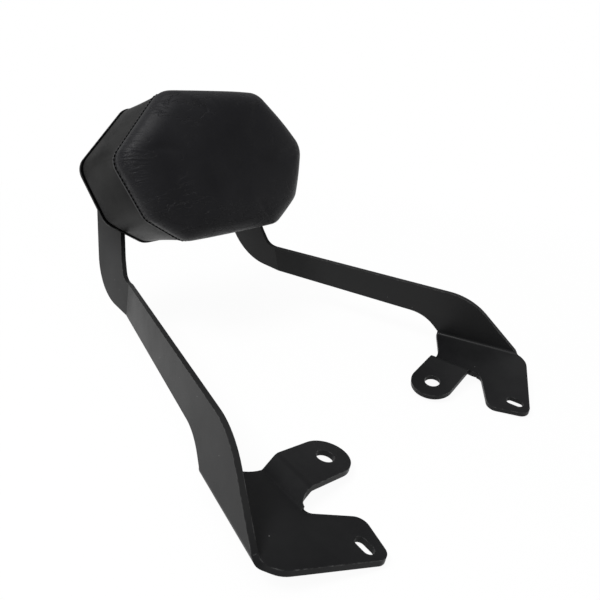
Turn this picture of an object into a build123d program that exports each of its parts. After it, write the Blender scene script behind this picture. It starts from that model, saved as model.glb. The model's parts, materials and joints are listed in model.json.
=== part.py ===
from build123d import *
from math import atan2, cos, pi, radians, sin, sqrt, tan
import os

os.makedirs("parts", exist_ok=True)

# A motorcycle passenger backrest: an octagonal pad on two folded steel brackets.
# Millimetres and degrees. +X is the rider's right, -Y is forward, +Z is up.
# The origin is midway between the two round fixing holes, at the level of their seats.

# Bracket steel
plate = 5.0
fold_radius = 3.0
corner = 1.0

# Feet, drawn flat around the round hole: u outwards, v rearwards
hole_spacing = 173.0
hole_radius = 8.0
ear_radius = 22.0
foot_tilt = 12.0
jog_height = 12.0
jog_u = 50.0
jog_v = 2.0
jog_skew = 7.0
slot_u = 39.5
slot_v = -73.5
slot_length = 17.0
slot_width = 9.5
slot_turn = 8.0
slot_ear_front = (32.6, -92.7)
slot_ear_rear = (16.4, -55.7)
slot_ear_front_radius = 9.0
slot_ear_rear_radius = 11.0
notch_u = 66.8
notch_v = -18.3
notch_radius = 7.0
foot_front_reach = 10.0
foot_front_radius = 22.0
foot_rear = (54.0, 24.5)
foot_rear_radius = 30.0

# Fold from foot to side plate, measured along the fold line from its reference point
fold_u = 97.9
fold_v = 6.6
toe_in = 15.0
fold_opening = 2.0
fold_front = 47.0
fold_rear = 42.0
fold_sweep = 8.0

# Side plate and arm: s along the fold line, h up the plate
throat_s = 8.7
throat_h = 57.5
throat_radius = 65.0
arm_rise = 2.1
arm_depth_front = 37.0
arm_depth_rear = 34.0
arm_root_s = 60.0
arm_root_radius = 42.0
crease_s = 270.0

# Top section behind the pad, drawn from the knee: a rearwards, b upwards
pad_lean = 19.3
lean_in = 11.8
knee_setback = 15.4
knee_climb = 28.4
knee_radius = 60.0
knee_reach = 13.0
knee_inner_radius = 15.0
heel_radius = 60.0
top_width = 57.0
top_height = 127.4
top_corner = 14.0
tab_height = 63.0
tab_reach = 30.0
bolt_drop = 15.0
bolt_pitch = 34.0
bolt_inset = 17.0

# Pad
pad_drop = 17.0
seam_half_top = 59.0
seam_half_wide = 120.0
seam_half_low = 99.0
seam_half_bottom = 63.0
seam_top = 73.0
seam_wide = 14.0
seam_low = -45.0
seam_bottom = -73.0
seam_radius = 16.0
rear_shift = ((11.0, 4.0), (12.0, 3.0), (5.5, 1.5), (4.0, -3.0))
band_depth = 58.5
crown = 32.0
crown_shares = (1.0, 0.95, 0.84, 0.6)
crown_radius = 46.0
crown_fullness = 3.0
leather = 1.2
soft_gap = 0.3
hem_width = 24.0
board_thickness = 12.0
rear_plate = 2.5
rear_plate_rim = 2.0

# Fasteners
bolt_radius = 4.0
bolt_length = 25.0
hex_across = 13.0
hex_height = 5.3
clearance = 0.4
thread_gap = 0.1
washer_radius = 8.5
washer_thickness = 1.6
spring_radius = 6.6
spring_thickness = 2.0
spring_gap = 1.2
tee_radius = 10.0
tee_flange = 1.2
tee_barrel_radius = 5.0
tee_barrel_length = 9.0
nut_pocket = 3.0
staple_width = 10.0
staple_wire = 0.7
staple_leg = 6.0
staple_inset = 12.0
staple_count = 20

far = 600.0

# Frames of the right bracket, taken from the sizes above
tilt = radians(foot_tilt)
toe = radians(toe_in)
opening = radians(fold_opening)
fold_reach = fold_radius * tan((pi / 2 - opening) / 2)
lean = radians(pad_lean)
inward = radians(lean_in)

foot_out = Vector(cos(tilt), 0, sin(tilt))
foot_up = Vector(-sin(tilt), 0, cos(tilt))
foot_plane = Plane(origin=(hole_spacing / 2, 0, 0), x_dir=foot_out, z_dir=foot_up)
low_plane = foot_plane.offset(plate - jog_height)

along_fold = foot_out * -sin(toe) + Vector(0, 1, 0) * cos(toe)
square_out = foot_out * cos(toe) + Vector(0, 1, 0) * sin(toe)
side_out = square_out * cos(opening) - foot_up * sin(opening)
fold_origin = low_plane.from_local_coords(Vector(fold_u, fold_v, 0))
side_plane = Plane(origin=fold_origin, x_dir=along_fold, z_dir=side_out)

pad_up = Vector(0, sin(lean), cos(lean))
pad_back = Vector(0, cos(lean), -sin(lean))
top_out = Vector(1, 0, 0) * cos(inward) + pad_up * sin(inward)
tab_start = top_height - tab_height
arm_slope = tan(radians(arm_rise))
crease_h = throat_h + (crease_s - throat_s) * arm_slope
knee = side_plane.from_local_coords(Vector(crease_s, crease_h, 0))
top_plane = Plane(origin=knee, x_dir=pad_back, z_dir=top_out)

pad_centre = Vector(0, knee.Y, knee.Z) + pad_back * knee_setback + pad_up * (top_height - pad_drop)
pad_plane = Plane(origin=pad_centre, x_dir=(1, 0, 0), z_dir=-pad_back)


def rounded(points, radii):
    """A face whose corners are rounded, each with its own radius."""
    return make_face(FilletPolyline(*points, radius=radii, close=True))


def fold_point(distance):
    """Foot coordinates of a point beside the fold, at a distance along it."""
    u = fold_u - distance * sin(toe) - fold_reach * cos(toe)
    v = fold_v + distance * cos(toe) - fold_reach * sin(toe)
    return u, v


def foot_outline():
    """The foot seen from above, from the round ear to the fold."""
    front_u, front_v = fold_point(-fold_front - fold_sweep)
    rear_u, rear_v = fold_point(fold_rear)
    heading = toe - atan2(throat_h - fold_reach, throat_s + fold_front)
    tip = (front_u + foot_front_reach * sin(heading), front_v - foot_front_reach * cos(heading))
    points = [
        (front_u, front_v),
        tip,
        slot_ear_front,
        slot_ear_rear,
        (notch_u, notch_v),
        (0, -ear_radius),
        (0, ear_radius),
        foot_rear,
        (rear_u, rear_v),
    ]
    radii = [
        corner / 10,
        foot_front_radius,
        slot_ear_front_radius,
        slot_ear_rear_radius,
        notch_radius,
        corner,
        corner,
        foot_rear_radius,
        corner,
    ]
    return rounded(points, radii) + Circle(ear_radius)


def jog_profile():
    """The foot's section across its raised ear, low on the right and high on the left."""
    lead = plate * tan(pi / 8)
    points = [
        (far / 2, -jog_height),
        (-lead, -jog_height),
        (-jog_height - lead, 0),
        (-far / 2, 0),
        (-far / 2, plate),
        (-jog_height, plate),
        (0, plate - jog_height),
        (far / 2, plate - jog_height),
    ]
    outer = fold_radius + plate
    return rounded(points, [corner, outer, fold_radius, corner, corner, outer, fold_radius, corner])


def make_foot():
    """The flat foot with its raised ear, round hole and slot."""
    split_v = notch_v - notch_radius
    jog_along = foot_out * -sin(radians(jog_skew)) + Vector(0, 1, 0) * cos(radians(jog_skew))
    jog_square = foot_out * cos(radians(jog_skew)) + Vector(0, 1, 0) * sin(radians(jog_skew))
    jog_start = foot_plane.from_local_coords(Vector(jog_u, jog_v, 0)) + jog_along * (far / 2)
    jog_plane = Plane(origin=jog_start, x_dir=jog_square, z_dir=-jog_along)
    stepped = extrude(jog_plane * jog_profile(), amount=far)
    behind = foot_plane * Pos(0, split_v, 0) * Box(far, far, far, align=(Align.CENTER, Align.MIN, Align.CENTER))
    flat = low_plane * Pos(0, split_v, 0) * Box(far, far, plate, align=(Align.CENTER, Align.MAX, Align.MAX))
    outline = extrude(foot_plane * foot_outline(), amount=jog_height + plate, both=True)
    foot = (stepped & behind & outline) + (flat & outline)
    foot -= foot_plane * Cylinder(hole_radius, far)
    slot = low_plane * Pos(slot_u, slot_v, 0) * SlotOverall(slot_length, slot_width, rotation=90 + slot_turn)
    return foot - extrude(slot, amount=plate, both=True)


def make_fold():
    """The bend between the foot and the side plate."""
    start = fold_origin + along_fold * fold_rear
    section = Plane(origin=start, x_dir=square_out, z_dir=-along_fold)
    centre = (-fold_reach, fold_radius)
    turn = 90 - fold_opening
    inner = CenterArc(centre, fold_radius, -90, turn)
    outer = CenterArc(centre, fold_radius + plate, -90, turn)
    face = make_face([inner, outer, Line(inner @ 0, outer @ 0), Line(inner @ 1, outer @ 1)])
    length = fold_front + fold_rear
    trims = []
    for angle, end in ((-90, length + fold_sweep), (-fold_opening, length)):
        arm = Vector(cos(radians(angle)), sin(radians(angle)), 0)
        near = Vector(*centre, 0) + arm * (fold_radius / 4)
        away = Vector(*centre, 0) + arm * (plate * 4)
        past = Vector(0, 0, length + plate * 4)
        beside = Vector(0, 0, end)
        trims.append(section * make_face(Polyline(near + beside, away + beside, away + past, near + past, close=True)))
    return extrude(section * face, amount=length + fold_sweep) - loft(trims, ruled=True)


def arm_top(s):
    """Height of the arm's upper edge at a distance along the fold."""
    return throat_h + (s - throat_s) * arm_slope


root_h = arm_top(arm_root_s) - arm_depth_front
lower_slope = (crease_h - arm_depth_rear - root_h) / (crease_s - arm_root_s)
crease = side_out.cross(top_out).normalized()
crease = crease if crease.Z > 0 else -crease
side_up = side_out.cross(along_fold)
top_up = top_out.cross(pad_back)
crease_side = (crease.dot(along_fold), crease.dot(side_up))
crease_top = (crease.dot(pad_back), crease.dot(top_up))
mitre = Plane(origin=knee, z_dir=crease.cross(side_out + top_out))
mitre = mitre if mitre.z_dir.Y > 0 else Plane(origin=knee, z_dir=-mitre.z_dir)


def make_side():
    """The side plate and the long arm, as far as the crease."""
    past = crease_s + plate * 4
    points = [
        (-fold_front, fold_reach),
        (throat_s, throat_h),
        (past, arm_top(past)),
        (past, root_h + (past - arm_root_s) * lower_slope),
        (arm_root_s, root_h),
        (fold_rear, fold_reach),
    ]
    face = rounded(points, [corner / 10, throat_radius, corner, corner, arm_root_radius, corner / 10])
    return extrude(side_plane * face, amount=plate).split(mitre, keep=Keep.BOTTOM)


def make_top():
    """The section behind the pad, from the crease up, with its folded tab."""
    turn = atan2(crease_top[1], crease_top[0]) - atan2(crease_side[1], crease_side[0])
    upper = turn + radians(arm_rise)
    lower = turn + atan2(lower_slope, 1)
    drop = crease_h - root_h - (crease_s - arm_root_s) * lower_slope
    drop = drop / (crease_side[1] - crease_side[0] * lower_slope)
    edge_a, edge_b = -drop * crease_top[0], -drop * crease_top[1]
    lead = plate * 2
    heel_a = knee_setback + top_width
    tab_root = knee_setback + plate + fold_radius
    points = [
        (-lead * cos(upper), -lead * sin(upper)),
        (knee_reach * cos(upper), knee_reach * sin(upper)),
        (knee_setback, knee_climb),
        (knee_setback, tab_start - fold_radius),
        (tab_root, tab_start - fold_radius),
        (tab_root, top_height),
        (heel_a, top_height),
        (heel_a, edge_b + (heel_a - edge_a) * tan(lower)),
        (edge_a - lead * cos(lower), edge_b - lead * sin(lower)),
    ]
    radii = [corner, knee_inner_radius, knee_radius, corner, corner, corner / 10, top_corner, heel_radius, corner]
    face = rounded(points, radii)
    wall = extrude(top_plane * face, amount=plate).split(mitre, keep=Keep.TOP)

    fold_plane = Plane(origin=top_plane.from_local_coords(Vector(0, top_height, 0)), x_dir=pad_back, z_dir=-top_up)
    inner = CenterArc((tab_root, -fold_radius), fold_radius, 90, 90)
    outer = CenterArc((tab_root, -fold_radius), fold_radius + plate, 90, 90)
    bend = make_face([inner, outer, Line(inner @ 0, outer @ 0), Line(inner @ 1, outer @ 1)])
    bend = extrude(fold_plane * bend, amount=tab_height)
    flat_points = [
        (fold_radius, tab_start),
        (tab_reach, tab_start),
        (tab_reach, top_height),
        (fold_radius, top_height),
    ]
    flat = rounded(flat_points, [corner / 10, washer_radius, washer_radius, corner / 10])
    flat = extrude(tab_plane * flat, amount=plate)
    tab = bend + flat
    for place in bolt_places():
        tab -= tab_plane * Pos(*place, 0) * Cylinder(bolt_radius + clearance, far)
    return wall + tab


tab_plane = Plane(origin=knee + pad_back * knee_setback, x_dir=-top_out, z_dir=pad_back)


def bolt_places():
    """Where the bolts pass the tab: inwards from the side, and up."""
    upper = top_height - bolt_drop
    return [(bolt_inset, upper - bolt_pitch), (bolt_inset, upper)]


def pad_bolts():
    """The four bolt centres in the pad's plane, with their names."""
    names = ["lower", "upper"]
    places = []
    for name, place in zip(names, bolt_places()):
        point = pad_plane.to_local_coords(tab_plane.from_local_coords(Vector(*place, 0)))
        places.append((f"right_{name}", point.X, point.Y))
        places.append((f"left_{name}", -point.X, point.Y))
    return places


plate_front = rear_plate
board_back = plate_front + leather
board_front = board_back + board_thickness
seam_z = plate_front + band_depth


def pad_face(grow, z, scale=1.0, radius=seam_radius):
    """The pad's rounded octagon, grown or scaled, at a height above its back."""
    half = [
        (seam_half_bottom, seam_bottom),
        (seam_half_low, seam_low),
        (seam_half_wide, seam_wide),
        (seam_half_top, seam_top),
    ]
    share = max(0, 1 - z / seam_z)
    half = [(x + out * share, y + up * share) for (x, y), (out, up) in zip(half, rear_shift)]
    corners = half + [(-x, y) for x, y in reversed(half)]
    middle_y = (seam_top + seam_bottom) / 2
    corners = [(x * scale, middle_y + (y - middle_y) * scale) for x, y in corners]
    face = rounded(corners, [radius * scale] * len(corners))
    if grow:
        face = offset(face, amount=grow)
    return pad_plane.offset(z) * face


def pad_slab(inset, bottom, top):
    """The solid inside the band's walls between two heights."""
    return loft([pad_face(-inset, bottom), pad_face(-inset, top)], ruled=True)


def crown_body(inset):
    """The crowned front of the pad above the seam."""
    shrink = 1 - inset / seam_half_wide
    faces = []
    for share in crown_shares:
        rise = (crown - inset) * sqrt(1 - share**crown_fullness)
        radius = seam_radius + (crown_radius - seam_radius) * (1 - share)
        faces.append(pad_face(0, seam_z + rise, share * shrink, radius))
    return loft(faces, ruled=True)


def make_pad():
    """The pad's board, foam, cover and back plate."""
    nodes = {}
    gap = leather + soft_gap
    nodes["front_panel"] = crown_body(0) - crown_body(leather)

    shell = pad_slab(0, plate_front, seam_z) - pad_slab(leather, board_back, seam_z)
    hollow = extrude(pad_face(-hem_width, plate_front), amount=band_depth)
    nodes["side_band"] = shell - hollow

    board = pad_slab(gap, board_back, board_front)
    foam = pad_slab(gap, board_front, seam_z) + crown_body(gap)
    back = extrude(pad_face(rear_plate_rim, 0), amount=rear_plate)
    for name, x, y in pad_bolts():
        axis = pad_plane * Pos(x, y, 0)
        board -= axis * Pos(0, 0, board_back) * Cylinder(tee_barrel_radius + thread_gap, 3 * board_thickness)
        back -= axis * Cylinder(bolt_radius + clearance, far)
        nodes["side_band"] -= axis * Cylinder(bolt_radius + clearance, 2 * board_back)
        pocket = Cylinder(tee_radius + clearance, nut_pocket, align=(Align.CENTER, Align.CENTER, Align.MIN))
        foam -= axis * Pos(0, 0, board_front) * pocket
    for staple in make_staples():
        nodes["side_band"] -= staple
        board -= staple
    nodes["pad_board"] = board
    nodes["foam_pad"] = foam
    nodes["back_plate"] = back
    return nodes


def make_staples():
    """The staples through the turned hem, spaced evenly round the board."""
    path = pad_face(-staple_inset, plate_front).face().outer_wire()
    bridge = Box(staple_width, staple_wire, staple_wire, align=(Align.CENTER, Align.CENTER, Align.MIN))
    leg = Box(staple_wire, staple_wire, staple_leg, align=(Align.CENTER, Align.CENTER, Align.MIN))
    legs = (staple_width - staple_wire) / 2
    staple = bridge + Pos(-legs, 0, 0) * leg + Pos(legs, 0, 0) * leg
    placed = []
    for count in range(staple_count):
        share = (count + 0.5) / staple_count
        spot = Plane(origin=path @ share, x_dir=path % share, z_dir=pad_plane.z_dir)
        placed.append(spot * staple)
    return placed


def make_bolt():
    """A hexagon bolt, its head below zero and its shank above."""
    low = (Align.CENTER, Align.CENTER, Align.MIN)
    head = extrude(RegularPolygon(hex_across / sqrt(3), 6), amount=-hex_height)
    return head + Cylinder(bolt_radius, bolt_length, align=low)


def make_fasteners():
    """A bolt, two washers and a tee nut at each of the four places."""
    low = (Align.CENTER, Align.CENTER, Align.MIN)
    high = (Align.CENTER, Align.CENTER, Align.MAX)
    bore = bolt_radius + thread_gap
    washer = Cylinder(washer_radius, washer_thickness, align=high)
    washer -= Cylinder(bolt_radius + clearance, far)
    spring = Cylinder(spring_radius, spring_thickness, align=high)
    spring -= Cylinder(bolt_radius + thread_gap, far)
    spring -= Pos(spring_radius, 0, 0) * Box(2 * spring_radius, spring_gap, far)
    tee = Cylinder(tee_radius, tee_flange, align=low) + Cylinder(tee_barrel_radius, tee_barrel_length, align=high)
    tee -= Cylinder(bore, far)
    bolt = make_bolt()
    nodes = {}
    for name, x, y in pad_bolts():
        axis = pad_plane * Pos(x, y, 0)
        nodes[f"tee_nut_{name}"] = axis * Pos(0, 0, board_front) * tee
        nodes[f"flat_washer_{name}"] = axis * Pos(0, 0, -plate) * washer
        nodes[f"spring_washer_{name}"] = axis * Pos(0, 0, -plate - washer_thickness) * spring
        nodes[f"bolt_{name}"] = axis * Pos(0, 0, -plate - washer_thickness - spring_thickness) * bolt
    return nodes


right = make_foot() + make_fold() + make_side() + make_top()
nodes = {"right_bracket": right, "left_bracket": mirror(right, about=Plane.YZ)}
nodes.update(make_pad())
nodes["staples"] = Compound(children=make_staples())
nodes.update(make_fasteners())
for name, shape in nodes.items():
    export_step(shape, f"parts/{name}.step")
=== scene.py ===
# %% [markdown]
# A motorcycle backrest: a leatherette pad on two folded steel brackets.
# The steel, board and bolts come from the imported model, which is the frame that everything here
# is fitted to. This script dresses them: it sews a cover for the pad and finishes each surface.

import json
from math import atan2, cos, pi, radians, sin, tan

import bmesh
import bpy
from mathutils import Matrix, Vector


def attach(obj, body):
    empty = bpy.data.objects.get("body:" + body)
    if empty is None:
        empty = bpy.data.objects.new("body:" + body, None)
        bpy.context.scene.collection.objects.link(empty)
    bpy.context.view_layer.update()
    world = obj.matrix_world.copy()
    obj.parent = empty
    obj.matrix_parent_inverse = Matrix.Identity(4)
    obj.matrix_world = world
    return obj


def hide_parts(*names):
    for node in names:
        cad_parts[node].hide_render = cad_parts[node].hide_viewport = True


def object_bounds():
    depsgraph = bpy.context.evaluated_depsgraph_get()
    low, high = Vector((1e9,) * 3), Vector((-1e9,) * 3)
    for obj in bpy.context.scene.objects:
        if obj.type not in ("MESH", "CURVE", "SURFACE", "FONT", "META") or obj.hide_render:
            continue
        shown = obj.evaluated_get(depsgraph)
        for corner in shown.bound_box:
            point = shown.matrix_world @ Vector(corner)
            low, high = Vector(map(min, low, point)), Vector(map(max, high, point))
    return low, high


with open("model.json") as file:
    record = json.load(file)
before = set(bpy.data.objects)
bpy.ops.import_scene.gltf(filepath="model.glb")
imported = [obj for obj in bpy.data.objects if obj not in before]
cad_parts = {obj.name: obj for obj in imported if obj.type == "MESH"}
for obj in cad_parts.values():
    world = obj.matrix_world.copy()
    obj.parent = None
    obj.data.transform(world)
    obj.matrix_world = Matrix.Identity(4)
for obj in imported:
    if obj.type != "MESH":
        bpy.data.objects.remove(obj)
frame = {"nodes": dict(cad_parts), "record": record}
cad_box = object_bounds()
nodes = frame["nodes"]
mm = 0.001
print("nodes:", len(nodes))

# %% [markdown]
# The pad leans back on the brackets. Its shape is easiest to draw in its own plane, with X across,
# Y up the pad and Z out of its front. The back plate lies flat in that plane, so its corners give
# the plane's place, and the pad's lean is the one angle that has to be stated.

# %% The pad's own plane
pad_lean = radians(19.3)
pad_up = Vector((0, sin(pad_lean), cos(pad_lean)))
pad_front = Vector((0, -cos(pad_lean), sin(pad_lean)))
plate_thickness = 2.5 * mm


def node_span(name, direction):
    """The lowest and highest reach of a node along a direction."""
    reach = [v.co.dot(direction) for v in nodes[name].data.vertices]
    return min(reach), max(reach)


plate_high = node_span("back_plate", pad_up)[1]
plate_back = node_span("back_plate", pad_front)[0]
plate_rim = 2.0 * mm
back_top = 70.0 * mm
pad_middle = pad_up * (plate_high - plate_rim - back_top) + pad_front * plate_back
pad_axes = Matrix((Vector((1, 0, 0)), pad_up, pad_front)).transposed()
pad_place = Matrix.Translation(pad_middle) @ pad_axes.to_4x4()
print("pad plane at", [round(x, 4) for x in pad_middle])

# %% [markdown]
# The cushion's seam is an octagon with rounded corners, wider than it is tall. It is written as
# four corners of its right half, and the left half mirrors them. The cushion's back is the same
# octagon with each corner moved: its lower corners stand well out, and its top stays in.

# %% The seam's outline
seam_corners = [(63, -73), (99, -45), (120, 14), (59, 73)]
back_shift = [(11, 4), (12, 3), (5.5, 1.5), (4, -3)]
seam_radius = 16 * mm
band_depth = 58.5 * mm
crown = 32 * mm
crown_radius = 64 * mm
seam_height = plate_thickness + band_depth
corner_steps = 8
seam_spacing = 2.5 * mm


def octagon(grow=0.0, radius=seam_radius, back=0.0):
    """The rounded octagon's points, anticlockwise, at a share of the way to the back."""
    half = []
    for (x, y), (out, up) in zip(seam_corners, back_shift):
        half.append(Vector((x + out * back, y + up * back)) * mm)
    ring = half + [Vector((-p.x, p.y)) for p in reversed(half)]
    rounded = []
    for index, corner in enumerate(ring):
        before = (ring[index - 1] - corner).normalized()
        after = (ring[(index + 1) % len(ring)] - corner).normalized()
        half_angle = before.angle(after) / 2
        centre = corner + (before + after).normalized() * (radius / sin(half_angle))
        start = corner + before * (radius / tan(half_angle)) - centre
        turn = pi - 2 * half_angle
        size = (radius + grow) / radius
        for step in range(corner_steps + 1):
            spoke = Matrix.Rotation(turn * step / corner_steps, 2) @ start
            rounded.append(centre + spoke * size)
    return rounded


def length_round(points):
    """The length of a closed line."""
    return sum((b - a).length for a, b in zip(points, points[1:] + points[:1]))


def evenly(points, count):
    """A closed line's points, a number of them spaced evenly along it."""
    closed = points + [points[0]]
    spans = [(b - a).length for a, b in zip(closed, closed[1:])]
    total = sum(spans)
    placed, walked, span = [], 0.0, 0
    for index in range(count):
        target = total * index / count
        while walked + spans[span] < target:
            walked += spans[span]
            span += 1
        share = (target - walked) / spans[span]
        placed.append(closed[span].lerp(closed[span + 1], share))
    return placed


count = round(length_round(octagon()) / seam_spacing)
outline = evenly(octagon(), count)
crown_outline = evenly(octagon(radius=crown_radius), count)
back_outline = evenly(octagon(back=1.0), count)
print("points round the seam:", count)

# %% [markdown]
# The cover is cut as a front panel and a long band, sewn together along the octagon. Seen in
# section it is one line: out over the foam's back, round the board's edge, in under the hem, back
# out to the rim, up the band, over the seam and in to the middle of the crown. So the mesh is one
# loop of vertices that is carried along that line, and each loop knows how far it lies from the
# seam.

# %% The section's loops
skin = 1.2 * mm
board_thickness = 12 * mm
board_back = plate_thickness + skin
board_front = board_back + board_thickness
slack = 0.35 * mm
rim_round = 2.5 * mm
rim_step = 0.3
hem_share = 0.8
nut_share = 0.84
nut_step = 0.04
nut_room = 3.0 * mm
edge_power = 17.0
edge_bend = 0.6
edge_part = 0.84
crown_bulge = 2.5 * mm
dome_power = 2.2
rim_cover = 1.3 * mm
seam_offsets = [0.5, 1.0, 1.5, 2.2, 3.2, 4.8]
seam_reach = 90 * mm
band_steps = 14
crown_steps = 16


def back_loops():
    """The loops hidden behind the cover, as (share of the outline, growth, height)."""
    over_nuts = board_front + nut_room
    under = plate_thickness + slack
    return [
        (nut_share, 0.0, over_nuts),
        (nut_share + nut_step, 0.0, board_front + slack),
        (1.0, -skin, board_front + slack),
        (1.0, -skin, board_back - slack / 2),
        (hem_share, 0.0, board_back - slack / 2),
        (hem_share, 0.0, under),
        (1.0, rim_cover - rim_round, under),
        (1.0, rim_cover - rim_round * rim_step, under + rim_round * rim_step),
    ]


def band_loops():
    """The loops up the band, close together near the seam."""
    low = plate_thickness + slack + rim_round
    high = seam_height - seam_offsets[-1] * mm
    heights = [low + (high - low) * step / band_steps for step in range(band_steps + 1)]
    heights += [seam_height - offset * mm for offset in reversed(seam_offsets[:-1])]
    return [(1.0, rim_cover * (1 - height / seam_height), height) for height in heights]


def crown_loops():
    """The loops over the crown, close together near the seam and then evenly inwards."""
    shares = [1 - offset * mm / seam_reach for offset in seam_offsets]
    inner = crown_steps + 1
    shares += [shares[-1] * (1 - step / inner) for step in range(1, inner)]
    loops = []
    for share in shares:
        edge = (1 - share ** edge_power) ** edge_bend
        dome = 1 - share ** dome_power
        rise = edge_part * edge + (1 - edge_part) * dome
        bulge = crown_bulge * 4 * rise * (1 - rise)
        loops.append((share, bulge, seam_height + crown * rise))
    return loops


sections = back_loops() + band_loops() + [(1.0, 0.0, seam_height)] + crown_loops()
seam_loop = len(back_loops()) + len(band_loops())
free_loop = len(back_loops()) + 1
print("loops:", len(sections), "seam at", seam_loop)

# %% [markdown]
# The foam rounds the octagon off, so its corners fade over the crown. Each loop there lies between
# the seam's own outline and the same octagon with much larger corners. Down the band, the loops go
# over to the back's wider outline in the same way.

# %% Where each loop's points lie
fade_share = 0.18
outwards = []
for index in range(count):
    along = (outline[(index + 1) % count] - outline[index - 1]).normalized()
    outwards.append(Vector((along.y, -along.x)))
print("first direction:", outwards[0])


def loop_point(index, share, grow, height):
    """A loop's point in the pad's plane."""
    fade = min((1 - share) / fade_share, 1.0) if height > seam_height else 0.0
    behind = max(1 - height / seam_height, 0.0)
    flat = outline[index].lerp(crown_outline[index], fade).lerp(back_outline[index], behind)
    flat = flat * share + outwards[index] * grow
    return Vector((flat.x, flat.y, height))


# %% [markdown]
# Each loop of vertices is joined to the one before it by a ring of quads that run along the seam.
# The faces are made in a set order, because the cloth's result depends on it. An extrusion would
# give the same faces in an order that changes from run to run.

# %% The cover's mesh
def make_cover():
    """The closed cover, loop by loop, in the pad's plane."""
    mesh = bmesh.new()
    loops = mesh.verts.layers.int.new("loop")
    rings = []
    for number, section in enumerate(sections):
        ring = [mesh.verts.new(loop_point(index, *section)) for index in range(count)]
        for vert in ring:
            vert[loops] = number
        rings.append(ring)
    for before, after in zip(rings, rings[1:]):
        for index in range(count):
            beside = (index + 1) % count
            mesh.faces.new((before[index], before[beside], after[beside], after[index]))
    caps = [mesh.faces.new(rings[0]), mesh.faces.new(rings[-1])]
    bmesh.ops.poke(mesh, faces=caps)
    bmesh.ops.recalc_face_normals(mesh, faces=mesh.faces)
    return mesh


cover_mesh = make_cover()
print("cover faces:", len(cover_mesh.faces))

# %% [markdown]
# The foam pushes the cover out, and the seam and the staples hold it. Blender's cloth does the
# same: the hem and the seam are pinned, and a little pressure swells the panels between them. The
# swelling is capped, because a firm pad moves only a few millimetres.

# %% Swelling the cover
swell_cap = 3.0 * mm
swell_pressure = 4.0
cloth_stiffness = 30
bending_stiffness = 4
cloth_frames = 20


def swell(piece, held):
    """Inflates a mesh with its held vertices pinned, and keeps the result in the mesh."""
    group = piece.vertex_groups.new(name="held")
    group.add(held, 1.0, "REPLACE")
    rest = [v.co.copy() for v in piece.data.vertices]
    cloth = piece.modifiers.new("swell", "CLOTH")
    settings = cloth.settings
    settings.vertex_group_mass = "held"
    settings.use_pressure = True
    settings.uniform_pressure_force = swell_pressure
    settings.effector_weights.gravity = 0.0
    settings.tension_stiffness = cloth_stiffness
    settings.compression_stiffness = cloth_stiffness
    settings.bending_stiffness = bending_stiffness
    scene = bpy.context.scene
    for number in range(1, cloth_frames + 1):
        scene.frame_set(number)
    shape = piece.evaluated_get(bpy.context.evaluated_depsgraph_get())
    swollen = [v.co.copy() for v in shape.data.vertices]
    piece.modifiers.remove(cloth)
    scene.frame_set(1)
    furthest = 0.0
    for vert, start, end in zip(piece.data.vertices, rest, swollen):
        step = end - start
        length = min(step.length, swell_cap)
        furthest = max(furthest, length)
        vert.co = start + step.normalized() * length if length > 0 else start
    piece.vertex_groups.clear()
    return furthest


cushion_data = bpy.data.meshes.new("cushion")
cover_mesh.to_mesh(cushion_data)
cushion = bpy.data.objects.new("cushion", cushion_data)
bpy.context.scene.collection.objects.link(cushion)
loop_of = [item.value for item in cushion_data.attributes["loop"].data]
held = [i for i, loop in enumerate(loop_of) if loop < free_loop or loop == seam_loop]
print("swollen by mm:", round(swell(cushion, held) / mm, 2))

# %% [markdown]
# A sewn seam is a groove where the thread pulls, with the folded edge of the band standing as a
# narrow ridge beside it. The loops near the seam are moved along their normals by that profile.

# %% The sewn seam
ridge_height = 0.7 * mm
groove_depth = 0.4 * mm
seam_profile = {-4: 0.1, -3: 0.4, -2: 1.0, -1: 0.7, 0: -1.0, 1: -0.2, 2: 0.1, 3: 0.1}
normals = [v.normal.copy() for v in cushion_data.vertices]
for vert, normal, loop in zip(cushion_data.vertices, normals, loop_of):
    share = seam_profile.get(loop - seam_loop, 0.0)
    vert.co += normal * share * (ridge_height if share > 0 else groove_depth)
print("seam loops shaped:", len(seam_profile))

# %% [markdown]
# The band is one strip whose ends are joined at the bottom, which leaves a notch under the seam.
# Each vertex also keeps its place along the seam and its distance from it, so that the
# leatherette can gather there. The place runs round a circle, so that the pattern has no end.

# %% The band's join and the sewn attribute
join_depth = 1.1 * mm
join_half = 1.6 * mm
gather_stretch = 0.22
seam_circle = length_round(outline) / (2 * pi)
first_band = len(back_loops())
joined = 0
for vert, normal, loop in zip(cushion_data.vertices, normals, loop_of):
    below = vert.co.y < 0 and abs(vert.co.x) < join_half
    if below and first_band - 2 <= loop <= seam_loop:
        vert.co -= normal * join_depth
        joined += 1
sewn = cushion_data.attributes.new("sewn", "FLOAT_VECTOR", "POINT")
for vert, loop, item in zip(cushion_data.vertices, loop_of, sewn.data):
    height = min(vert.co.z, seam_height) - seam_height
    inwards = (1 - sections[loop][0]) * seam_reach if loop > seam_loop else 0.0
    turn = atan2(vert.co.y, vert.co.x)
    from_seam = (height + inwards) * gather_stretch
    item.vector = (cos(turn) * seam_circle, sin(turn) * seam_circle, from_seam)
print("vertices in the join:", joined)

# %% Finishing the cushion
finish = cushion.modifiers.new("smooth", "SUBSURF")
finish.levels = 1
finish.render_levels = 1
for face in cushion_data.polygons:
    face.use_smooth = True
seam_ring = [cushion_data.vertices[seam_loop * count + index] for index in range(count)]
seam_line = [(v.co.copy(), v.normal.copy()) for v in seam_ring]
cushion_data.transform(pad_place)
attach(cushion, "root")
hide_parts("front_panel", "side_band", "foam_pad")
print("cushion vertices:", len(cushion_data.vertices))

# %% [markdown]
# The topstitch is a row of short thread dashes that stand a little proud of the seam. One dash is a
# stretched ball with few sides, and it is repeated along the seam at an even pitch.

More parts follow.
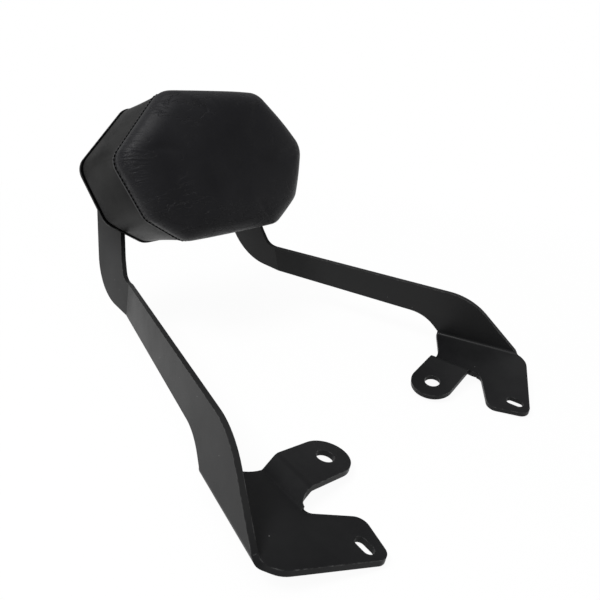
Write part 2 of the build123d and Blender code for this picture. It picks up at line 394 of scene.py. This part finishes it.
# %% The topstitch
stitch_pitch = 4.0 * mm
stitch_length = 3.1 * mm
stitch_radius = 0.6 * mm
stitch_lift = 0.9 * mm
stitch_sides = 6
stitch_rings = 5


def make_stitches():
    """All the stitches as one mesh, in the pad's plane, lying on the cushion's own seam."""
    mesh = bmesh.new()
    path = [spot + normal * stitch_lift for spot, normal in seam_line]
    line = evenly(path, round(length_round(path) / stitch_pitch))
    for index, place in enumerate(line):
        along = line[(index + 1) % len(line)] - line[index - 1]
        turn = Matrix.Rotation(atan2(along.y, along.x), 4, "Z")
        size = Matrix.Diagonal((stitch_length / 2, stitch_radius, stitch_radius, 1))
        spot = Matrix.Translation(place) @ turn @ size
        bmesh.ops.create_uvsphere(
            mesh, u_segments=stitch_sides, v_segments=stitch_rings, radius=1, matrix=spot
        )
    print("stitches:", len(line))
    return mesh


stitches = make_stitches()
stitch_data = bpy.data.meshes.new("topstitch")
stitches.to_mesh(stitch_data)
topstitch = bpy.data.objects.new("topstitch", stitch_data)
bpy.context.scene.collection.objects.link(topstitch)
for face in stitch_data.polygons:
    face.use_smooth = True
stitch_data.transform(pad_place)
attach(topstitch, "root")

# %% [markdown]
# Three effects are used by the finishes: wear with a painted highlight along edges, slow tone
# variation and flecks of dust.
# Each is a node group with named inputs, built once. The helpers before them place nodes and write
# the small sums that every finish needs.

# %% Helpers for materials
def new_group(name, inputs, outputs):
    """An empty shader group with its sockets: names and default values."""
    group = bpy.data.node_groups.new(name, "ShaderNodeTree")
    for label, value in inputs.items():
        socket = group.interface.new_socket(label, in_out="INPUT", socket_type="NodeSocketFloat")
        socket.default_value = value
    for label, kind in outputs.items():
        group.interface.new_socket(label, in_out="OUTPUT", socket_type=kind)
    start = group.nodes.new("NodeGroupInput")
    end = group.nodes.new("NodeGroupOutput")
    return group, start, end


def add(tree, kind, **values):
    """A node in a tree, with its properties and input values set by name."""
    node = tree.nodes.new(kind)
    for key, value in values.items():
        if hasattr(node, key):
            setattr(node, key, value)
        else:
            node.inputs[key.replace("_", " ")].default_value = value
    return node


def maths(tree, operation, first, second=None, clamp=False):
    """A Math node fed by sockets or numbers, and its output."""
    node = tree.nodes.new("ShaderNodeMath")
    node.operation = operation
    node.use_clamp = clamp
    for socket, value in zip(node.inputs, (first, second)):
        if isinstance(value, bpy.types.NodeSocket):
            tree.links.new(value, socket)
        elif value is not None:
            socket.default_value = value
    return node.outputs[0]


def product(tree, first, *others):
    """Several values multiplied together."""
    for other in others:
        first = maths(tree, "MULTIPLY", first, other)
    return first


def rising(tree, value, start, width):
    """A mask that grows from 0 to 1 as a value goes a width past its start."""
    return maths(tree, "MULTIPLY", maths(tree, "SUBTRACT", value, start), 1 / width, clamp=True)


def falling(tree, value, end, width):
    """A mask that shrinks from 1 to 0 over the width before a value's end."""
    return maths(tree, "MULTIPLY", maths(tree, "SUBTRACT", end, value), 1 / width, clamp=True)


def texture(tree, kind, vector, **values):
    """A texture node that reads its place from a socket."""
    node = add(tree, kind, **values)
    tree.links.new(vector, node.inputs["Vector"])
    return node


def object_place(tree):
    """A point's place on the object, as a socket."""
    return tree.nodes.new("ShaderNodeTexCoord").outputs["Object"]


def axis_of(tree, vector, axis):
    """One axis of a vector."""
    node = tree.nodes.new("ShaderNodeSeparateXYZ")
    tree.links.new(vector, node.inputs[0])
    return node.outputs[axis]


# %% The edge wear and painted highlight group
edge_gain = 6.0
spot_start = 0.42
spot_width = 0.25


def make_edge_wear_and_highlight():
    """Edge wear and painted highlight at a point: high on sharp edges and broken up by noise."""
    inputs = {"Width": 0.0008, "Amount": 0.5}
    group, start, end = new_group("edge_wear_and_highlight", inputs, {"Highlight_and_wear": "NodeSocketFloat"})
    bevel = add(group, "ShaderNodeBevel", samples=4)
    group.links.new(start.outputs["Width"], bevel.inputs["Radius"])
    flat = group.nodes.new("ShaderNodeNewGeometry")
    match = group.nodes.new("ShaderNodeVectorMath")
    match.operation = "DOT_PRODUCT"
    group.links.new(bevel.outputs[0], match.inputs[0])
    group.links.new(flat.outputs["Normal"], match.inputs[1])
    edge = falling(group, match.outputs["Value"], 1.0, 1 / edge_gain)
    noise = texture(group, "ShaderNodeTexNoise", object_place(group), Scale=260.0, Detail=4.0)
    spots = rising(group, noise.outputs["Fac"], spot_start, spot_width)
    group.links.new(product(group, edge, spots, start.outputs["Amount"]), end.inputs["Highlight_and_wear"])
    return group


edge_wear_and_highlight = make_edge_wear_and_highlight()
print("group:", edge_wear_and_highlight.name)


# %% The mottle group
def make_mottle():
    """A slow change of tone over a surface, between 0 and 1."""
    inputs = {"Scale": 12.0, "Contrast": 2.0}
    group, start, end = new_group("mottle", inputs, {"Tone": "NodeSocketFloat"})
    noise = texture(group, "ShaderNodeTexNoise", object_place(group), Detail=5.0, Roughness=0.6)
    group.links.new(start.outputs["Scale"], noise.inputs["Scale"])
    centred = maths(group, "SUBTRACT", noise.outputs["Fac"], 0.5)
    spread = maths(group, "MULTIPLY", centred, start.outputs["Contrast"])
    group.links.new(maths(group, "ADD", spread, 0.5, clamp=True), end.inputs["Tone"])
    return group


mottle = make_mottle()
print("group:", mottle.name)


# %% The flecks group
def make_flecks():
    """Rare specks of dust, as a mask."""
    inputs = {"Scale": 60.0, "Size": 0.035}
    group, start, end = new_group("flecks", inputs, {"Fleck": "NodeSocketFloat"})
    cells = texture(group, "ShaderNodeTexVoronoi", object_place(group))
    group.links.new(start.outputs["Scale"], cells.inputs["Scale"])
    fleck = maths(group, "LESS_THAN", cells.outputs["Distance"], start.outputs["Size"])
    group.links.new(fleck, end.inputs["Fleck"])
    return group


flecks = make_flecks()
print("group:", flecks.name)


# %% Helpers for finishes
def place_group(tree, group, **values):
    """A shader group placed in a material with its own values, and its output."""
    node = tree.nodes.new("ShaderNodeGroup")
    node.node_tree = group
    for key, value in values.items():
        node.inputs[key].default_value = value
    return node.outputs[0]


def blend_colours(tree, share, first, second):
    """A colour between two, by a socket's share."""
    node = tree.nodes.new("ShaderNodeMix")
    node.data_type = "RGBA"
    tree.links.new(share, node.inputs["Factor"])
    for socket, value in ((node.inputs[6], first), (node.inputs[7], second)):
        if isinstance(value, bpy.types.NodeSocket):
            tree.links.new(value, socket)
        else:
            socket.default_value = (*value, 1)
    return node.outputs[2]


def new_material(name):
    """A material, its tree and its Principled BSDF."""
    material = bpy.data.materials.new(name)
    material.use_nodes = True
    tree = material.node_tree
    return material, tree, tree.nodes["Principled BSDF"]


def roughen(tree, shader, tone, low, spread):
    """Roughness that follows a tone, from a lowest value up."""
    rough = maths(tree, "ADD", maths(tree, "MULTIPLY", tone, spread), low)
    tree.links.new(rough, shader.inputs["Roughness"])


def raise_surface(tree, shader, height, strength, distance):
    """Gives a shader small relief from a height."""
    bump = add(tree, "ShaderNodeBump", Strength=strength, Distance=distance)
    tree.links.new(height, bump.inputs["Height"])
    tree.links.new(bump.outputs[0], shader.inputs["Normal"])


print("helpers ready")

# %% [markdown]
# Powder coat is a baked plastic film over the steel: satin, very slightly pebbled, and painted a
# lighter grey along the cut edges, partly as wear and partly as a painted highlight. The arms are
# painted lighter between the feet and the knees as painted light, and darkest up by the pad as
# painted shade.

# %% Powder coat
coat_dark = (0.005, 0.0051, 0.0056)
coat_light = (0.0135, 0.0137, 0.0142)
painted_light_colour = (0.016, 0.0161, 0.0163)
painted_shade_colour = (0.001, 0.001, 0.0012)
edge_highlight_and_wear_colour = (0.1, 0.1, 0.1)
coat_dust = (0.12, 0.12, 0.12)
light_low = 8 * mm
light_high = 95 * mm
shade_start = 85 * mm
light_fade = 30 * mm


def make_powder_coat():
    """Satin black powder coat, with edges painted lighter as wear and painted highlight, and
    painted light and shade by height.
    """
    material, tree, shader = new_material("powder_coat")
    shader.inputs["Specular IOR Level"].default_value = 0.1
    tone = place_group(tree, mottle, Scale=7.0, Contrast=3.4)
    place = object_place(tree)
    # Painted light and shade by height: the arms are painted lighter between the feet and the
    # knees, and painted darkest up by the pad as painted shade.
    level = axis_of(tree, place, "Z")
    above = rising(tree, level, light_low, light_fade)
    below = falling(tree, level, light_high, light_fade)
    coat = blend_colours(tree, tone, coat_dark, coat_light)
    coat = blend_colours(tree, product(tree, above, below), coat, painted_light_colour)
    pad_shade = rising(tree, level, shade_start, light_fade)
    coat = blend_colours(tree, pad_shade, coat, painted_shade_colour)
    # The cut edges are painted a lighter grey: partly wear, partly a painted highlight.
    wear_and_highlight = place_group(tree, edge_wear_and_highlight, Width=0.0012, Amount=0.8)
    highlit_edge = blend_colours(tree, wear_and_highlight, coat, edge_highlight_and_wear_colour)
    dust = place_group(tree, flecks, Scale=60.0, Size=0.03)
    colour = blend_colours(tree, dust, highlit_edge, coat_dust)
    tree.links.new(colour, shader.inputs["Base Color"])
    roughen(tree, shader, tone, low=0.27, spread=0.18)
    pebble = texture(tree, "ShaderNodeTexNoise", place, Scale=900.0, Detail=2.0)
    raise_surface(tree, shader, pebble.outputs["Fac"], strength=0.12, distance=0.0003)
    return material


powder_coat = make_powder_coat()
print("material:", powder_coat.name)

# %% [markdown]
# Leatherette is a vinyl film on cloth, embossed with a pebbled hide grain. Grain comes from Voronoi
# cells under a millimetre wide, and the fine creases from a stretched, warped noise. The film
# gathers where it is pulled round the two side corners, with a painted highlight on the gathers'
# ridges, and the band's folded edge has a painted highlight.

# %% Leatherette's colours and sizes
face_dark = (0.0065, 0.0065, 0.0078)
face_light = (0.0115, 0.0115, 0.013)
band_dark = (0.0006, 0.0006, 0.0006)
band_light = (0.0095, 0.0095, 0.0092)
film_dust = (0.1, 0.1, 0.1)
fold_highlight_colour = (0.022, 0.022, 0.024)
ridge_highlight_colour = (0.035, 0.035, 0.037)
grain_height = 0.22
pore_gain = 1.6
crease_scale = 70.0
crease_width = 0.025
crease_depth = 1.3
crease_stretch = (0.4, 1.0, 1.0)
plain_start = 46 * mm
plain_fade = 12 * mm
gather_scale = 380.0
gather_reach = 26 * mm
gather_height = 4.0
gather_everywhere = 0.12
fold_start = 0.52
fold_width = 0.125
fold_shine = 0.35
corner_start = 88 * mm
corner_fade = 22 * mm
ridge_low = 2.4 * mm
ridge_high = 0.3 * mm
ridge_everywhere = 0.4


# %% Leatherette's relief
def stretched(tree, vector, sizes):
    """A vector with each axis scaled."""
    node = tree.nodes.new("ShaderNodeVectorMath")
    node.operation = "MULTIPLY"
    node.inputs[1].default_value = sizes
    tree.links.new(vector, node.inputs[0])
    return node.outputs[0]


def crease_mask(tree, place, patches, inward, on_face):
    """Fine crease lines in patches of the face, clear of its middle."""
    loose = product(tree, patches, on_face, falling(tree, inward, plain_start, plain_fade))
    drawn_out = stretched(tree, place, crease_stretch)
    noise = texture(
        tree, "ShaderNodeTexNoise", drawn_out,
        Scale=crease_scale, Detail=6.0, Roughness=0.55, Distortion=1.2,
    )
    ridged = maths(tree, "ABSOLUTE", maths(tree, "SUBTRACT", noise.outputs["Fac"], 0.5))
    return product(tree, falling(tree, ridged, crease_width, crease_width), loose)


def gather_masks(tree, place, sewn_place, inward, on_face):
    """The gathers' noise, and how strongly the film gathers at a point."""
    noise = texture(
        tree, "ShaderNodeTexNoise", sewn_place,
        Scale=gather_scale, Detail=3.0, Distortion=0.5,
    )
    near_seam = product(tree, falling(tree, inward, gather_reach, gather_reach), on_face)
    outward = maths(tree, "ABSOLUTE", axis_of(tree, place, "X"))
    corner = rising(tree, outward, corner_start, corner_fade)
    gathered = product(tree, near_seam, maths(tree, "ADD", corner, gather_everywhere))
    return noise.outputs["Fac"], gathered


# %% Leatherette
def make_leatherette():
    """Black grained leatherette with fine creases."""
    material, tree, shader = new_material("leatherette")
    shader.inputs["Specular IOR Level"].default_value = 0.12
    place = object_place(tree)
    sewn_place = add(tree, "ShaderNodeAttribute", attribute_name="sewn").outputs["Vector"]
    inward = maths(tree, "MULTIPLY", axis_of(tree, sewn_place, "Z"), 1 / gather_stretch)
    on_face = maths(tree, "GREATER_THAN", inward, 0.0)
    tone = place_group(tree, mottle, Scale=11.0, Contrast=3.2)
    band_tone = place_group(tree, mottle, Scale=19.0, Contrast=5.0)
    patches = place_group(tree, mottle, Scale=15.0, Contrast=6.0)
    dust = place_group(tree, flecks, Scale=34.0, Size=0.014)
    face_colour = blend_colours(tree, tone, face_dark, face_light)
    band_colour = blend_colours(tree, band_tone, band_dark, band_light)
    colour = blend_colours(tree, on_face, band_colour, face_colour)
    colour = blend_colours(tree, dust, colour, film_dust)

    cells = texture(
        tree, "ShaderNodeTexVoronoi", place, Scale=1100.0, feature="DISTANCE_TO_EDGE"
    )
    pores = maths(tree, "MULTIPLY", cells.outputs["Distance"], pore_gain, clamp=True)
    creases = crease_mask(tree, place, patches, inward, on_face)
    gathers, gathered = gather_masks(tree, place, sewn_place, inward, on_face)
    grain = maths(
        tree, "SUBTRACT",
        product(tree, pores, grain_height), product(tree, creases, crease_depth),
    )
    height = maths(tree, "ADD", grain, product(tree, gathers, gathered, gather_height))
    raise_surface(tree, shader, height, strength=0.7, distance=0.0007)

    # The gathers' folds are painted lighter on their ridges: a painted highlight.
    fold = rising(tree, gathers, fold_start, fold_width)
    fold_highlight = product(tree, fold, gathered, fold_shine)
    colour = blend_colours(tree, fold_highlight, colour, fold_highlight_colour)
    # The band's folded edge beside the seam is painted lighter: a painted highlight along the
    # ridge.
    past_low = maths(tree, "GREATER_THAN", inward, -ridge_low)
    before_high = maths(tree, "LESS_THAN", inward, -ridge_high)
    on_ridge = product(tree, past_low, before_high)
    uneven = maths(tree, "ADD", patches, ridge_everywhere)
    highlit_edge = maths(tree, "MULTIPLY", on_ridge, uneven, clamp=True)
    colour = blend_colours(tree, highlit_edge, colour, ridge_highlight_colour)
    tree.links.new(colour, shader.inputs["Base Color"])
    roughen(tree, shader, tone, low=0.35, spread=0.1)
    return material


leatherette = make_leatherette()
print("material:", leatherette.name)


# %% Thread, steel, plywood and zinc
def make_plain_finish(name, dark, light, roughness, metal, scale, shine=0.5):
    """A finish of two close tones with a fine surface."""
    material, tree, shader = new_material(name)
    shader.inputs["Specular IOR Level"].default_value = shine
    shader.inputs["Metallic"].default_value = metal
    tone = place_group(tree, mottle, Scale=scale, Contrast=2.2)
    colour = blend_colours(tree, tone, dark, light)
    tree.links.new(colour, shader.inputs["Base Color"])
    roughen(tree, shader, tone, low=roughness, spread=0.15)
    return material


thread = make_plain_finish(
    "thread", dark=(0.0012, 0.0012, 0.0012), light=(0.003, 0.003, 0.003),
    roughness=0.8, metal=0.0, scale=900.0, shine=0.03,
)
black_steel = make_plain_finish(
    "black_steel", dark=(0.03, 0.03, 0.032), light=(0.07, 0.07, 0.075),
    roughness=0.35, metal=1.0, scale=120.0,
)
zinc = make_plain_finish(
    "zinc", dark=(0.45, 0.45, 0.44), light=(0.62, 0.62, 0.6),
    roughness=0.3, metal=1.0, scale=200.0,
)
steel_wire = make_plain_finish(
    "steel_wire", dark=(0.5, 0.5, 0.5), light=(0.65, 0.65, 0.65),
    roughness=0.28, metal=1.0, scale=300.0,
)
plywood = make_plain_finish(
    "plywood", dark=(0.42, 0.28, 0.15), light=(0.62, 0.46, 0.28),
    roughness=0.6, metal=0.0, scale=25.0,
)
print("finishes made")

# %% Putting the finishes on
finishes = {
    "black_powder_coat": powder_coat,
    "leatherette": leatherette,
    "plywood": plywood,
    "foam": leatherette,
    "steel_wire": steel_wire,
    "zinc_steel": zinc,
    "black_steel": black_steel,
}
for part in frame["record"]["subparts"]:
    mesh = nodes[part["node"]].data
    mesh.materials.clear()
    mesh.materials.append(finishes[part["material_slot"]])
cushion_data.materials.append(leatherette)
stitch_data.materials.append(thread)

# %% [markdown]
# The photograph is a cut-out on white, so the floor is white to the camera and to reflections, and
# only a trace of shadow stays on it.

# %% The floor and the backdrop
floor_gap = 0.2 * mm
floor_level = cad_box[0].z - floor_gap
floor_size = 60.0
shadow_share = 0.06
shadow_reach = 1.0
floor_colour = (0.8, 0.8, 0.8, 1)
floor_roughness = 0.9
floor_mesh = bmesh.new()
bmesh.ops.create_grid(floor_mesh, x_segments=1, y_segments=1, size=floor_size)
floor_data = bpy.data.meshes.new("floor")
floor_mesh.to_mesh(floor_data)
floor_data.transform(Matrix.Translation((0, 0, floor_level)))
floor = bpy.data.objects.new("floor", floor_data)
bpy.context.scene.collection.objects.link(floor)


def white_to_camera(tree, surface, share):
    """Mixes plain white into a surface for camera, mirror and glass rays."""
    rays = tree.nodes.new("ShaderNodeLightPath")
    seen = maths(tree, "MAXIMUM", rays.outputs["Is Camera Ray"], rays.outputs["Is Glossy Ray"])
    seen = maths(tree, "MAXIMUM", seen, rays.outputs["Is Transmission Ray"])
    white = add(tree, "ShaderNodeEmission", Strength=1.0)
    mix = tree.nodes.new("ShaderNodeMixShader")
    tree.links.new(maths(tree, "MULTIPLY", seen, share), mix.inputs[0])
    tree.links.new(surface, mix.inputs[1])
    tree.links.new(white.outputs[0], mix.inputs[2])
    return mix.outputs[0]


floor_material, floor_tree, floor_shader = new_material("white_floor")
floor_shader.inputs["Base Color"].default_value = floor_colour
floor_shader.inputs["Roughness"].default_value = floor_roughness
floor_output = floor_tree.nodes["Material Output"]
far = floor_tree.nodes.new("ShaderNodeVectorMath")
far.operation = "LENGTH"
floor_tree.links.new(object_place(floor_tree), far.inputs[0])
near = falling(floor_tree, far.outputs["Value"], shadow_reach, shadow_reach)
white_share = maths(floor_tree, "SUBTRACT", 1.0, maths(floor_tree, "MULTIPLY", near, shadow_share))
mixed = white_to_camera(floor_tree, floor_shader.outputs[0], white_share)
floor_tree.links.new(mixed, floor_output.inputs["Surface"])
floor_data.materials.append(floor_material)
print("floor at", round(floor_level, 4))

# %% The world
sky_strength = 0.45
white = (1, 1, 1, 1)
world = bpy.data.worlds.new("studio")
bpy.context.scene.world = world
world.use_nodes = True
sky = world.node_tree
soft_light = sky.nodes["Background"]
soft_light.inputs["Strength"].default_value = sky_strength
soft_light.inputs["Color"].default_value = white
world_rays = sky.nodes.new("ShaderNodeLightPath")
bright = add(sky, "ShaderNodeBackground", Strength=1.0, Color=white)
world_mix = sky.nodes.new("ShaderNodeMixShader")
sky.links.new(world_rays.outputs["Is Camera Ray"], world_mix.inputs[0])
sky.links.new(soft_light.outputs[0], world_mix.inputs[1])
sky.links.new(bright.outputs[0], world_mix.inputs[2])
sky.links.new(world_mix.outputs[0], sky.nodes["World Output"].inputs["Surface"])
print("world ready")

# %% Lamps
def soft_box(name, place, target, size, power):
    """A square soft lamp that faces a target."""
    lamp = bpy.data.lights.new(name, "AREA")
    lamp.size = size
    lamp.energy = power
    stand = bpy.data.objects.new(name, lamp)
    stand.location = place
    stand.rotation_mode = "QUATERNION"
    stand.rotation_quaternion = (Vector(target) - Vector(place)).to_track_quat("-Z", "Y")
    bpy.context.scene.collection.objects.link(stand)


middle = (cad_box[0] + cad_box[1]) / 2
soft_box("left_lamp", place=(-1.0, 0.3, 1.6), target=middle, size=0.6, power=26)
soft_box("top_lamp", place=(-0.3, -0.1, 1.7), target=middle, size=1.0, power=7)
print("lamps ready")

# %% [markdown]
# The camera was fitted to the photograph: it is close, in front and to the left, and looks down.
# From so near, the left foot looms and the far one shrinks, as they do there.

# %% The camera
camera_place = Vector((-0.3516, -0.1918, 0.3031))
camera_aim = Vector((0.6729, 0.5986, -0.4347))
camera_roll = radians(5.64)
camera_lens = 30.66
camera_sensor = 36.0
lens = bpy.data.cameras.new("camera")
lens.lens = camera_lens
lens.sensor_width = camera_sensor
camera = bpy.data.objects.new("camera", lens)
camera.location = camera_place
camera.rotation_mode = "QUATERNION"
level = camera_aim.to_track_quat("-Z", "Y")
camera.rotation_quaternion = Matrix.Rotation(-camera_roll, 3, camera_aim).to_quaternion() @ level
bpy.context.scene.collection.objects.link(camera)
bpy.context.scene.camera = camera
bpy.context.scene.view_settings.view_transform = "Standard"
print("camera right:", [round(x, 3) for x in camera.rotation_quaternion @ Vector((1, 0, 0))])

# %% The end of the scene
print("scene built")
